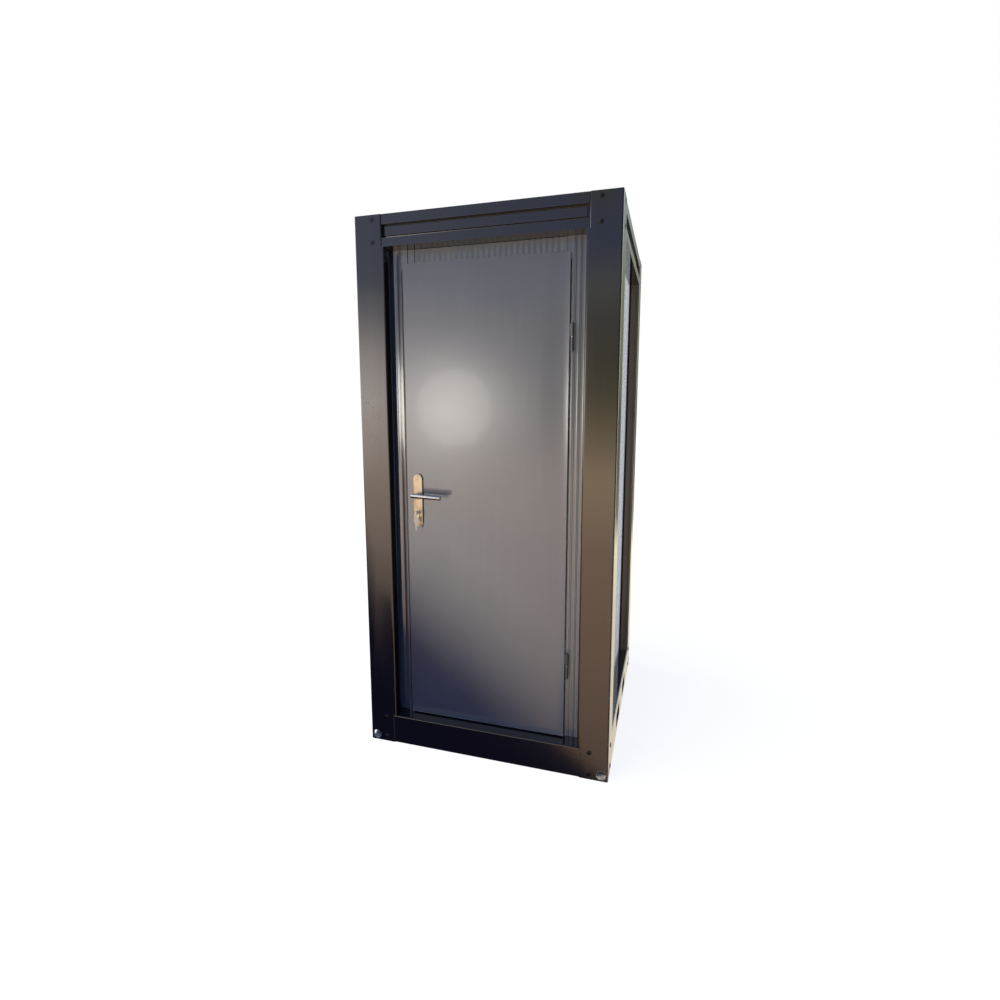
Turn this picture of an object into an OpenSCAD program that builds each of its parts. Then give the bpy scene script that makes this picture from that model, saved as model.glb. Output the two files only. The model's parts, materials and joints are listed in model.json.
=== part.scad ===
// Single steel-framed toilet cabin: bolted corner posts and roof and floor beams,
// ribbed sandwich panels set back in the frame, and one outward-opening steel door.
// Origin: centre of the footprint at ground level. The door faces -Y, its hinges are on +X.

/* [Cabin] */
// Width over the corner posts
cabin_w = 1160; // [1120:10:1500]
// Depth over the corner posts
cabin_d = 1200; // [1120:10:1800]
// Height from ground to roof edge
cabin_h = 2450; // [2420:10:2800]

/* [Corner posts] */
// Width of a post's two outer faces, between the beams
post_w = 140; // [130:1:145]
// Width of the square boxes at a post's head and foot
box_w = 130; // [120:1:132]
// How deep the post returns behind its front or rear face
post_return = 52; // [45:1:70]
// How deep the post returns behind its side face
post_side_return = 50; // [40:1:50]
// Steel thickness of the posts
post_t = 4; // [3:0.5:6]
// Outer bend radius of the posts
post_r = 7; // [6:0.5:10]
// Diameter of the lashing eyes at the feet
eye_d = 36; // [28:1:40]
// Distance of an eye's centre from the corner and from the ground
eye_in = 30; // [26:1:40]

/* [Roof beams] */
// Height of a roof beam
roof_beam_h = 135; // [125:1:160]
// Depth of a roof beam, from the frame's outer plane
roof_beam_d = 112; // [105:1:118]
// Height of the upper lip
roof_lip_h = 43; // [30:1:50]
// Height of the groove under the lip
roof_groove_h = 6; // [4:1:10]
// Height of the set-back middle band
roof_band_h = 39; // [30:1:42]
// Height of the groove above the lower band
roof_step_h = 10; // [5:1:12]
// Set-back of the middle band
roof_band_in = 14; // [8:1:18]
// Gap between the middle band's ends and the posts
roof_band_gap = 9; // [4:1:14]
// Steel thickness of the beams
beam_t = 3; // [2:0.5:4]

/* [Floor beams] */
// Height of a floor beam
floor_beam_h = 140; // [130:1:160]
// Depth of a floor beam, from the frame's outer plane
floor_beam_d = 128; // [126:1:130]
// Width of a fork pocket
pocket_w = 150; // [120:5:180]
// Height of a fork pocket
pocket_h = 66; // [50:1:76]
// Height of a fork pocket's floor above the ground
pocket_z = 38; // [25:1:42]
// Distance of a fork pocket's centre from the cabin's centre
pocket_off = 160; // [130:5:200]
// Steel thickness of the pocket tubes
pocket_t = 4; // [3:0.5:5]
// Thickness of the floor deck
deck_t = 21; // [15:1:28]

/* [Wall panels] */
// Set-back of the front and rear walls
wall_in = 76; // [72:1:80]
// Set-back of the side walls
side_wall_in = 52; // [50:1:60]
// Thickness of the sandwich panels
wall_t = 50; // [40:1:50]
// Distance between ribs
rib_pitch = 25; // [20:1:40]
// Depth of the ribs
rib_depth = 1.2; // [0.6:0.1:2]

/* [Door] */
// Distance from the cabin's side to the door's lock edge
lock_margin = 197; // [180:1:230]
// Gap between the outer sheet and the floor beam
leaf_gap_bottom = 6; // [6:1:12]
// Gap between the outer sheet's top and the roof beam
leaf_gap_top = 63; // [50:1:90]
// Distance from the cabin's side to the door's hinge edge
hinge_margin = 211; // [205:1:216]
// Set-back of the door's face
leaf_in = 57; // [57:1:59]
// Thickness of the door's overlapping edge
rebate_t = 11; // [6:1:11]
// Thickness of the whole door
leaf_t = 43; // [38:1:45]
// How far the door overlaps its frame on the lock side
overlap_lock = 18; // [15:1:20]
// How far the door overlaps its frame on the hinge side and at the top
overlap_hinge = 16; // [14:1:18]
// Gap between the door's body and its frame
leaf_gap = 7; // [7:0.5:9]
// Gap between the door's body and the frame on the lock side
lock_gap = 9; // [9:0.5:11]
// Width of the lock-side frame post
jamb_lock_w = 69; // [40:1:72]
// Width of the hinge-side frame post
jamb_hinge_w = 37; // [35:1:45]
// Steel thickness of the door frame
jamb_t = 2; // [1.5:0.5:3]
// Width of the flat strip beside the panel above the door
strip_w = 35; // [30:1:60]

/* [Hinges] */
// Diameter of a hinge barrel
barrel_d = 15; // [13:0.5:15]
// Length of a hinge barrel
barrel_l = 116; // [90:2:140]
// Diameter of a hinge pin
pin_d = 9; // [7:0.5:10]
// Height of the lower hinge's middle
hinge_low_z = 488; // [350:1:700]
// Height of the upper hinge's middle
hinge_high_z = 1913; // [1600:1:2000]

/* [Lock and handle] */
// Distance from the door's edge to the lock's centre line
lock_in = 57; // [55:1:80]
// Height of the lever's axis
lever_z = 1225; // [1000:1:1300]
// Distance from the lever's axis down to the cylinder
lock_pitch = 82; // [72:1:92]
// Length of the backplates
plate_l = 245; // [230:1:260]
// Width of the backplates
plate_w = 44; // [36:1:46]
// Thickness of the backplates
plate_t = 8; // [6:0.5:9]
// Distance from the backplate's top to the lever's axis
plate_up = 96; // [75:1:100]
// Length of the lever's bar
lever_l = 145; // [120:1:150]
// Diameter of the lever's bar and neck
lever_d = 20; // [16:1:20]
// Distance from the door's face to the middle of the bar
lever_out = 45; // [40:1:45]
// Droop of the lever at rest, in degrees
lever_droop = 2; // [0:0.5:5]

/* [Hidden] */
$fn = 48;
eps = 1;                       // how far a cut runs past the face it opens
fit = 0.5;                     // clearance between steel parts that fit in each other

anthracite = "#2b2d31";
panel_grey = "#55585d";
stainless = "#b9b2a4";

// Corner posts and bolts
bolt_in = 85;
bolt_d = 17;
bolt_h = 3;
bolt_top = [20, 114];          // below the roof edge
bolt_foot = [26, 126];         // above the ground

// Roof beam levels
roof_beam_z = cabin_h - roof_beam_h;
roof_lip_z = cabin_h - roof_lip_h;
roof_low_z = roof_lip_z - roof_groove_h - roof_band_h - roof_step_h;
beam_face_in = 2;
roof_groove_in = roof_band_in + 8;
roof_sheet_t = 3;
roof_sheet_z = roof_lip_z + 8;
ceiling_t = wall_t;

// Wall and door levels
wall_z = floor_beam_h;
wall_h = roof_beam_z - floor_beam_h;
jamb_in = wall_in - 2;
jamb_d = wall_t + 4;
sill_h = 12;
head_h = 22;

// Door, from the left end of its outer sheet to the right
leaf_x0 = -cabin_w / 2 + lock_margin;
leaf_x1 = cabin_w / 2 - hinge_margin;
leaf_w = leaf_x1 - leaf_x0;
leaf_z0 = floor_beam_h + leaf_gap_bottom;
leaf_z1 = roof_beam_z - leaf_gap_top;
opening_x0 = leaf_x0 + overlap_lock;
opening_x1 = leaf_x1 - overlap_hinge;
opening_z1 = leaf_z1 - overlap_hinge - 8;
body_x0 = opening_x0 + lock_gap;
body_x1 = opening_x1 - leaf_gap;
body_z0 = floor_beam_h + sill_h + leaf_gap_bottom;
body_z1 = opening_z1 - leaf_gap_bottom;
jamb_x0 = opening_x0 - jamb_lock_w;
jamb_x1 = opening_x1 + jamb_hinge_w;
panel_x0 = -cabin_w / 2 + side_wall_in + wall_t;
panel_x1 = cabin_w / 2 - side_wall_in - wall_t;
transom_z = opening_z1 + head_h;

// Hinge axis
hinge_x = leaf_x1 + 13;
hinge_y = -cabin_d / 2 + leaf_in - 5;
hinge_zs = [hinge_low_z, hinge_high_z];
pin_play = 0.2;
washer_h = 2;

// Lock centre line and the door's two faces
lock_x = leaf_x0 + lock_in;
face_y = -cabin_d / 2 + leaf_in;
back_y = face_y + leaf_t;
cylinder_z = lever_z - lock_pitch;
cylinder_d = 17;
cylinder_tail_w = 10;
cylinder_h = 33;
cylinder_nose = 3;
plate_z1 = lever_z + plate_up;
plate_z0 = plate_z1 - plate_l;
spindle_a = 8;
faceplate_l = 235;
faceplate_w = 24;
faceplate_t = 3;
faceplate_y = face_y + rebate_t + 4;
key_t = 2.4;
bow_l = 24;
bow_w = 18;
bow_hole_r = 3.4;
bow_hole_in = 7;
bow_y = face_y - plate_t - cylinder_nose - bow_l / 2 - 1;
ring_r = 11;
ring_wire_r = 1.1;
ring_turn = -31;
ring_y = bow_y - bow_hole_in;
ring_sit = bow_hole_r - ring_wire_r - 0.5;     // wire's offset from the middle of a bow's hole
ring_z = cylinder_z - ring_sit - ring_r;

// ---- placing ----

// Runs its children in a side's own frame: x along the side, y inwards from the outer plane
module front_side() {
    translate([0, -cabin_d / 2, 0]) children();
}
module rear_side() {
    rotate([0, 0, 180]) translate([0, -cabin_d / 2, 0]) children();
}
module left_side() {
    rotate([0, 0, -90]) translate([0, -cabin_w / 2, 0]) children();
}
module right_side() {
    rotate([0, 0, 90]) translate([0, -cabin_w / 2, 0]) children();
}

// Puts a front-left corner part at the corner given by two signs
module at_corner(side_x, side_y) {
    mirror([side_x > 0 ? 1 : 0, 0, 0])
        mirror([0, side_y > 0 ? 1 : 0, 0])
            translate([-cabin_w / 2, -cabin_d / 2, 0]) children();
}

// ---- outlines ----

// Rectangle with round corners
module round_rect(x, y, w, h, r) {
    translate([x + r, y]) square([w - 2 * r, h]);
    translate([x, y + r]) square([w, h - 2 * r]);
    for (cx = [x + r, x + w - r], cy = [y + r, y + h - r])
        translate([cx, cy]) circle(r);
}

// Post section, or its hollow when set in by the steel thickness
module post_section(inset) {
    r = post_r - inset;
    round_rect(inset, inset, post_w - 2 * inset, post_return - 2 * inset, r);
    round_rect(inset, inset, post_side_return - 2 * inset, post_w - 2 * inset, r);
}

// Roof beam section: y inwards, z up
module roof_beam_section() {
    z_band = roof_lip_z - roof_groove_h;
    z_step = roof_low_z + roof_step_h;
    difference() {
        polygon([
            [beam_face_in, cabin_h], [beam_face_in, roof_lip_z],
            [roof_groove_in, roof_lip_z], [roof_groove_in, z_band],
            [roof_band_in, z_band], [roof_band_in, z_step],
            [roof_groove_in, z_step], [roof_groove_in, roof_low_z],
            [beam_face_in, roof_low_z], [beam_face_in, roof_beam_z],
            [roof_beam_d, roof_beam_z], [roof_beam_d, cabin_h]
        ]);
        translate([roof_groove_in + beam_t, roof_beam_z + beam_t])
            square([roof_beam_d - roof_groove_in - 2 * beam_t, roof_beam_h - 2 * beam_t]);
        translate([beam_face_in + beam_t, roof_beam_z + beam_t])
            square([roof_groove_in, roof_low_z - roof_beam_z - 2 * beam_t]);
        translate([beam_face_in + beam_t, roof_lip_z + beam_t])
            square([roof_groove_in, roof_lip_h - 2 * beam_t]);
    }
}

// Floor beam section: a rolled rectangular tube
module floor_beam_section() {
    w = floor_beam_d - beam_face_in;
    difference() {
        round_rect(beam_face_in, 0, w, floor_beam_h, 5);
        round_rect(beam_face_in + beam_t, beam_t, w - 2 * beam_t, floor_beam_h - 2 * beam_t, 2);
    }
}

// Sandwich panel seen from above: ribs on the outer skin at y = 0, flat inner skin
module panel_outline(length) {
    n = floor((length - rib_pitch) / rib_pitch);
    x0 = (length - n * rib_pitch) / 2;
    ribs = [for (i = [0:1:n - 1]) for (p = [[0.1, 0], [0.24, 1], [0.6, 1], [0.74, 0]])
        [x0 + (i + p[0]) * rib_pitch, p[1] * rib_depth]];
    polygon(concat([[0, 0]], ribs, [[length, 0], [length, wall_t], [0, wall_t]]));
}

// Backplate outline with fully round ends, centred on x = 0
module plate_outline(inset) {
    r = plate_w / 2 - inset;
    translate([-r, plate_z0 + plate_w / 2]) square([2 * r, plate_l - plate_w]);
    for (z = [plate_z0 + plate_w / 2, plate_z1 - plate_w / 2])
        translate([0, z]) circle(r);
}

// Cylinder section, round above and a narrow tail below
module cylinder_outline(play) {
    tail_r = cylinder_tail_w / 2;
    tail_z = cylinder_z + cylinder_d / 2 - cylinder_h + tail_r;
    translate([0, cylinder_z]) circle(cylinder_d / 2 + play);
    translate([-tail_r - play, tail_z]) square([2 * (tail_r + play), cylinder_z - tail_z]);
    translate([0, tail_z]) circle(tail_r + play);
}

// Extrudes an x-z outline inwards (+Y) from y0 to y1
module inwards(y0, y1) {
    translate([0, y1, 0]) rotate([90, 0, 0]) linear_extrude(y1 - y0) children();
}

// Extrudes a side's y-z section along its x from x0 to x1
module along(x0, x1) {
    translate([x0, 0, 0]) rotate([90, 0, 90]) linear_extrude(x1 - x0) children();
}

// ---- frame ----

// Corner post: L-shaped tube between a square foot box and a square head box
module corner_post() {
    boxes = [[0, floor_beam_h], [roof_beam_z, roof_beam_h]];
    difference() {
        union() {
            translate([0, 0, floor_beam_h])
                linear_extrude(roof_beam_z - floor_beam_h) post_section(0);
            for (box = boxes)
                translate([0, 0, box[0]]) linear_extrude(box[1]) round_rect(0, 0, box_w, box_w, post_r);
        }
        translate([0, 0, floor_beam_h + post_t])
            linear_extrude(roof_beam_z - floor_beam_h - 2 * post_t) post_section(post_t);
        for (box = boxes)
            translate([0, 0, box[0] + post_t]) linear_extrude(box[1] - 2 * post_t)
                round_rect(post_t, post_t, box_w - 2 * post_t, box_w - 2 * post_t, post_r - post_t);
        translate([eye_in, post_t + eps, eye_in]) rotate([90, 0, 0])
            cylinder(d = eye_d, h = post_t + 2 * eps);
        translate([-eps, eye_in, eye_in]) rotate([0, 90, 0])
            cylinder(d = eye_d, h = post_t + 2 * eps);
    }
}

module post_front_left() { color(anthracite) at_corner(-1, -1) corner_post(); }
module post_front_right() { color(anthracite) at_corner(1, -1) corner_post(); }
module post_rear_left() { color(anthracite) at_corner(-1, 1) corner_post(); }
module post_rear_right() { color(anthracite) at_corner(1, 1) corner_post(); }

// Roof beam between two posts, its middle band stopped short of them
module roof_beam(side_l) {
    half = side_l / 2 - box_w;
    difference() {
        along(-half, half) roof_beam_section();
        for (s = [-1, 1])
            translate([s * half, roof_groove_in / 2, (roof_low_z + roof_lip_z) / 2])
                cube([2 * roof_band_gap, roof_groove_in, roof_lip_z - roof_low_z], center = true);
    }
}

module roof_beam_front() { color(anthracite) front_side() roof_beam(cabin_w); }
module roof_beam_rear() { color(anthracite) rear_side() roof_beam(cabin_w); }
module roof_beam_left() { color(anthracite) left_side() roof_beam(cabin_d); }
module roof_beam_right() { color(anthracite) right_side() roof_beam(cabin_d); }

// Floor beam between two posts
module floor_beam(side_l) {
    half = side_l / 2 - box_w;
    along(-half, half) floor_beam_section();
}

// Cuts that let the fork pockets through a side floor beam
module pocket_cuts() {
    w = pocket_w + 2 * pocket_t + 2 * fit;
    h = pocket_h + 2 * pocket_t + 2 * fit;
    for (s = [-1, 1])
        translate([s * pocket_off - w / 2, -eps, pocket_z - pocket_t - fit])
            cube([w, floor_beam_d + 2 * eps, h]);
}

module floor_beam_front() { color(anthracite) front_side() floor_beam(cabin_w); }
module floor_beam_rear() { color(anthracite) rear_side() floor_beam(cabin_w); }
module floor_beam_left() {
    color(anthracite) left_side() difference() {
        floor_beam(cabin_d);
        pocket_cuts();
    }
}
module floor_beam_right() {
    color(anthracite) right_side() difference() {
        floor_beam(cabin_d);
        pocket_cuts();
    }
}

// Fork pocket tubes from side to side
module fork_pockets() {
    length = cabin_w - 2 * beam_face_in;
    color(anthracite) for (s = [-1, 1])
        translate([0, s * pocket_off, pocket_z + pocket_h / 2]) difference() {
            cube([length, pocket_w + 2 * pocket_t, pocket_h + 2 * pocket_t], center = true);
            cube([length + 2 * eps, pocket_w, pocket_h], center = true);
        }
}

// Cross members under the deck, between the side floor beams
module floor_joists() {
    joist_w = 40;
    joist_h = 60;
    length = cabin_w - 2 * floor_beam_d;
    outer_y = (pocket_off + pocket_w / 2 + pocket_t + cabin_d / 2 - floor_beam_d) / 2;
    color(anthracite) for (y = [-outer_y, 0, outer_y])
        translate([-length / 2, y - joist_w / 2, floor_beam_h - joist_h])
            difference() {
                cube([length, joist_w, joist_h]);
                translate([-eps, beam_t, -eps])
                    cube([length + 2 * eps, joist_w - 2 * beam_t, joist_h - beam_t + eps]);
            }
}

// Floor deck inside the walls
module floor_deck() {
    w = cabin_w - 2 * (side_wall_in + wall_t);
    d = cabin_d - 2 * (wall_in + wall_t + 4);
    color("#6a5a48") translate([-w / 2, -d / 2, floor_beam_h]) cube([w, d, deck_t]);
}

// Square cuts that keep the roof and ceiling clear of the four head boxes
module head_box_cuts(z0, h) {
    w = box_w + fit;
    for (s = [-1, 1], t = [-1, 1])
        translate([s * (cabin_w - w) / 2, t * (cabin_d - w) / 2, z0 + h / 2])
            cube([w, w, h], center = true);
}

// Ceiling panel between the roof beams
module ceiling_panel() {
    w = cabin_w - 2 * roof_beam_d;
    d = cabin_d - 2 * roof_beam_d;
    color("#d8d9d8") difference() {
        translate([-w / 2, -d / 2, roof_beam_z]) cube([w, d, ceiling_t]);
        head_box_cuts(roof_beam_z - eps, ceiling_t + 2 * eps);
    }
}

// Roof sheet between the roof beams, with raised ribs that run front to back
module roof_sheet() {
    w = cabin_w - 2 * roof_beam_d;
    d = cabin_d - 2 * roof_beam_d;
    rib_w = 30;
    rib_h = 18;
    count = 5;
    step = w / count;
    tops = [for (i = [0:count - 1]) for (p = [[-rib_w / 2 - 10, 0], [-rib_w / 2, rib_h],
        [rib_w / 2, rib_h], [rib_w / 2 + 10, 0]]) [(i + 0.5) * step + p[0], p[1]]];
    under = [for (i = [len(tops) - 1:-1:0]) [tops[i][0], tops[i][1] - roof_sheet_t]];
    color(panel_grey) difference() {
        translate([-w / 2, d / 2, roof_sheet_z]) rotate([90, 0, 0]) linear_extrude(d)
            polygon(concat([[0, 0]], tops, [[w, 0], [w, -roof_sheet_t]], under, [[0, -roof_sheet_t]]));
        head_box_cuts(roof_sheet_z - roof_sheet_t - eps, rib_h + roof_sheet_t + 2 * eps);
    }
}

// ---- walls ----

// Sandwich panel standing on the floor beam, from x0 to x1 of its side
module wall_panel(x0, x1, inset) {
    translate([x0, inset, wall_z]) linear_extrude(wall_h) panel_outline(x1 - x0);
}

module wall_left() {
    half = cabin_d / 2 - wall_in;
    color(panel_grey) left_side() wall_panel(-half, half, side_wall_in);
}
module wall_right() {
    half = cabin_d / 2 - wall_in;
    color(panel_grey) right_side() wall_panel(-half, half, side_wall_in);
}
module wall_rear() {
    color(panel_grey) rear_side() wall_panel(panel_x0, panel_x1, wall_in);
}
module front_wall_left() {
    color(panel_grey) front_side() wall_panel(panel_x0, jamb_x0, wall_in);
}
module front_wall_right() {
    color(panel_grey) front_side() wall_panel(jamb_x1, panel_x1, wall_in);
}

// Panel above the door
module transom_panel() {
    x0 = opening_x0 + strip_w;
    color(panel_grey) front_side() translate([x0, wall_in, transom_z])
        linear_extrude(roof_beam_z - transom_z) panel_outline(opening_x1 - x0);
}

// Flat strip between the panel above the door and the lock-side frame post
module transom_strip() {
    gap = 1.5;
    color(panel_grey) front_side() translate([opening_x0 + gap, wall_in, transom_z])
        cube([strip_w - 2 * gap, wall_t, roof_beam_z - transom_z]);
}

// ---- door frame ----

// Upright box section of the door frame
module jamb(x0, x1) {
    translate([0, 0, wall_z]) linear_extrude(wall_h) difference() {
        round_rect(x0, jamb_in, x1 - x0, jamb_d, 2);
        translate([x0 + jamb_t, jamb_in + jamb_t])
            square([x1 - x0 - 2 * jamb_t, jamb_d - 2 * jamb_t]);
    }
}

module door_jamb_left() { color(panel_grey) front_side() jamb(jamb_x0, opening_x0); }
module door_jamb_right() { color(panel_grey) front_side() jamb(opening_x1, jamb_x1); }

module door_head() {
    color(panel_grey) front_side() translate([opening_x0, jamb_in, opening_z1])
        cube([opening_x1 - opening_x0, jamb_d, head_h]);
}

module door_sill() {
    color(stainless) front_side() translate([opening_x0, jamb_in, floor_beam_h])
        cube([opening_x1 - opening_x0, jamb_d, sill_h]);
}

// Strike plate on the lock-side frame post
module strike_plate() {
    strike_t = 1.5;
    color(stainless) front_side()
        translate([opening_x0, jamb_in + 14, cylinder_z - 40]) difference() {
            cube([strike_t, 24, 170]);
            translate([-eps, 6, 20]) cube([strike_t + 2 * eps, 12, 40]);
            translate([-eps, 6, lock_pitch + 27]) cube([strike_t + 2 * eps, 12, 26]);
        }
}

// ---- bolts ----

// Low domed bolt head, its base on y = 0 and its crown outwards (-Y)
module bolt_head() {
    rotate([90, 0, 0]) rotate_extrude() polygon([
        [0, 0], [bolt_d / 2, 0], [bolt_d / 2, bolt_h * 0.4], [bolt_d * 0.36, bolt_h],
        [bolt_d * 0.16, bolt_h], [bolt_d * 0.13, bolt_h * 0.4], [0, bolt_h * 0.4]
    ]);
}

// The bolts of one side: four at each post
module side_bolts(side_l) {
    zs = concat(bolt_foot, [for (z = bolt_top) cabin_h - z]);
    for (s = [-1, 1], z = zs)
        translate([s * (side_l / 2 - bolt_in), 0, z]) bolt_head();
}

module corner_bolts() {
    color("#1d1e20") {
        front_side() side_bolts(cabin_w);
        rear_side() side_bolts(cabin_w);
        left_side() side_bolts(cabin_d);
        right_side() side_bolts(cabin_d);
    }
}

// ---- hinges ----

// Lower half of each hinge: barrel, pin and the lug welded to the frame post
module hinge_pins() {
    half = barrel_l / 2;
    lug_t = 8;
    color(anthracite) for (z = hinge_zs) translate([hinge_x, hinge_y, z]) {
        translate([0, 0, -half]) cylinder(d = barrel_d, h = half - washer_h / 2);
        translate([0, 0, -half / 2]) cylinder(d = pin_d, h = half / 2 + half * 0.8);
        translate([-lug_t / 2, 0, -half + 4])
            cube([lug_t, -cabin_d / 2 + jamb_in - hinge_y, half - 12]);
    }
}

// Steel washers between the hinge halves
module hinge_washers() {
    color("#c9c6bd") for (z = hinge_zs) translate([hinge_x, hinge_y, z - washer_h / 2])
        difference() {
            cylinder(d = barrel_d - 1, h = washer_h);
            translate([0, 0, -eps]) cylinder(d = pin_d + 2 * pin_play, h = washer_h + 2 * eps);
        }
}

// Upper half of each hinge: barrel with its bore and the lug welded to the door
module hinge_knuckles() {
    half = barrel_l / 2;
    rest = washer_h / 2 + 0.3;
    lug_t = 5;
    color(anthracite) for (z = hinge_zs) translate([hinge_x, hinge_y, z])
        difference() {
            union() {
                translate([0, 0, rest]) cylinder(d = barrel_d, h = half - rest);
                translate([leaf_x1 - hinge_x, face_y - hinge_y + 0.5, rest + 3])
                    cube([hinge_x - leaf_x1, lug_t, half - rest - 8]);
            }
            translate([0, 0, -eps]) cylinder(d = pin_d + 2 * pin_play, h = half * 0.8 + 3 + eps);
        }
}

// ---- door ----

// Door leaf: outer sheet that overlaps the frame, and the thick body behind it
module door_leaf() {
    edge_r = 3;
    color(panel_grey) difference() {
        union() {
            inwards(face_y, face_y + rebate_t)
                round_rect(leaf_x0, leaf_z0, leaf_w, leaf_z1 - leaf_z0, edge_r);
            inwards(face_y + rebate_t, back_y) translate([body_x0, body_z0])
                square([body_x1 - body_x0, body_z1 - body_z0]);
        }
        translate([lock_x, 0, 0]) inwards(face_y - eps, back_y + eps) {
            cylinder_outline(fit);
            translate([0, lever_z]) circle(spindle_a);
        }
        translate([body_x0 - eps, faceplate_y, plate_z0])
            cube([faceplate_t + eps, faceplate_w, faceplate_l]);
    }
}

// Long backplate with a bevelled rim, its back at y = 0 and its face at -plate_t
module backplate() {
    rim = 1.5;
    difference() {
        union() {
            inwards(-plate_t + rim, 0) plate_outline(0);
            inwards(-plate_t, -plate_t + rim) plate_outline(rim);
        }
        inwards(-plate_t - eps, eps) {
            cylinder_outline(fit);
            translate([0, lever_z]) circle(lever_d / 2 + fit);
        }
    }
}

module backplate_outside() {
    color(stainless) translate([lock_x, face_y, 0]) backplate();
}
module backplate_inside() {
    color(stainless) translate([lock_x, back_y, 0]) mirror([0, 1, 0]) backplate();
}

// Profile cylinder through the door, with a nose on each side
module lock_cylinder() {
    color("#a8a59c") translate([lock_x, 0, 0]) difference() {
        inwards(face_y - plate_t - cylinder_nose, back_y + plate_t + cylinder_nose)
            cylinder_outline(0);
        translate([-key_t / 2 - 0.2, face_y - plate_t - cylinder_nose - eps, cylinder_z - 4.4])
            cube([key_t + 0.4, 12 + eps, 8.8]);
    }
}

// Face plate of the lock, let into the door's edge, with its bolt ends flush
module lock_faceplate() {
    play = 0.3;
    color(stainless) translate([body_x0, faceplate_y + play, plate_z0 + play])
        cube([faceplate_t - play, faceplate_w - 2 * play, faceplate_l - 2 * play]);
}

// Countersunk screw heads at both ends of each backplate
module plate_screws() {
    color("#77736a") for (side = [[face_y - plate_t, 0], [back_y + plate_t, 180]])
        translate([lock_x, side[0], 0]) rotate([0, 0, side[1]])
            for (z = [plate_z0 + 11, plate_z1 - 11])
                translate([0, 0, z]) rotate([90, 0, 0]) rotate_extrude()
                    polygon([[0, 0], [3.6, 0], [2.8, 0.8], [1.2, 0.8], [1.2, 0.3], [0, 0.3]]);
}

// ---- keys ----

// Key plate seen flat: an oval bow with a hole, and a blade that points along +x
module key_outline(blade_l) {
    tip = bow_l / 2 + blade_l;
    difference() {
        union() {
            round_rect(-bow_l / 2, -bow_w / 2, bow_l, bow_w, 8);
            translate([0, -4]) square([tip, 8]);
        }
        translate([-bow_hole_in, 0]) circle(bow_hole_r);
        for (i = [0:1:floor((blade_l - 4) / 6) - 1])
            translate([tip - 4 - 6 * i, 5]) rotate(45) square(3, center = true);
    }
}

// Key in the cylinder, upright, its bow towards -Y
module key_in_lock() {
    color("#c9c6bd") translate([lock_x - key_t / 2, bow_y, cylinder_z])
        rotate([90, 0, 90]) linear_extrude(key_t) key_outline(11);
}

// Split ring through the bows of both keys
module key_ring() {
    color("#c9c6bd") translate([lock_x, ring_y, ring_z]) rotate([90, 0, ring_turn])
        rotate_extrude() translate([ring_r, 0]) circle(ring_wire_r, $fn = 24);
}

// Second key, hanging from the ring, turned twice as far as the ring
module spare_key() {
    twist = 2 * ring_turn;
    color("#c9c6bd") translate([lock_x, ring_y, ring_z - ring_r - ring_sit - bow_hole_in])
        rotate([0, 0, twist]) rotate([0, 90, 0]) translate([0, 0, -key_t / 2])
            linear_extrude(key_t) key_outline(36);
}

// ---- lever handle ----

// Lever: neck from the backplate and a straight round bar with chamfered ends
module lever() {
    overhang = 16;
    chamfer = 1.5;
    r = lever_d / 2;
    rotate([90, 0, 0]) cylinder(d = lever_d, h = lever_out);
    rotate([0, lever_droop, 0]) translate([-overhang, -lever_out, 0]) rotate([0, 90, 0])
        rotate_extrude() polygon([
            [0, 0], [r - chamfer, 0], [r, chamfer],
            [r, lever_l - chamfer], [r - chamfer, lever_l], [0, lever_l]
        ]);
}

module lever_outside() {
    color(stainless) translate([lock_x, face_y - 0.5, lever_z]) lever();
}
module lever_inside() {
    color(stainless) translate([lock_x, back_y + 0.5, lever_z]) mirror([0, 1, 0]) lever();
}

// Square spindle that joins the two levers through the door
module spindle() {
    color("#8c8a84") translate([lock_x - spindle_a / 2, face_y - 0.5, lever_z - spindle_a / 2])
        cube([spindle_a, leaf_t + 1, spindle_a]);
}

// ---- drawing ----

post_front_left();
post_front_right();
post_rear_left();
post_rear_right();
roof_beam_front();
roof_beam_rear();
roof_beam_left();
roof_beam_right();
floor_beam_front();
floor_beam_rear();
floor_beam_left();
floor_beam_right();
fork_pockets();
floor_joists();
floor_deck();
ceiling_panel();
roof_sheet();
wall_left();
wall_right();
wall_rear();
front_wall_left();
front_wall_right();
transom_panel();
transom_strip();
door_jamb_left();
door_jamb_right();
door_head();
door_sill();
strike_plate();
corner_bolts();
hinge_pins();
hinge_washers();
door_leaf();
hinge_knuckles();
backplate_outside();
backplate_inside();
lock_cylinder();
lock_faceplate();
plate_screws();
key_in_lock();
key_ring();
spare_key();
lever_outside();
lever_inside();
spindle();
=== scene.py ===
import bpy
import bmesh
import json
import math
from mathutils import Matrix, Vector

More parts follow.
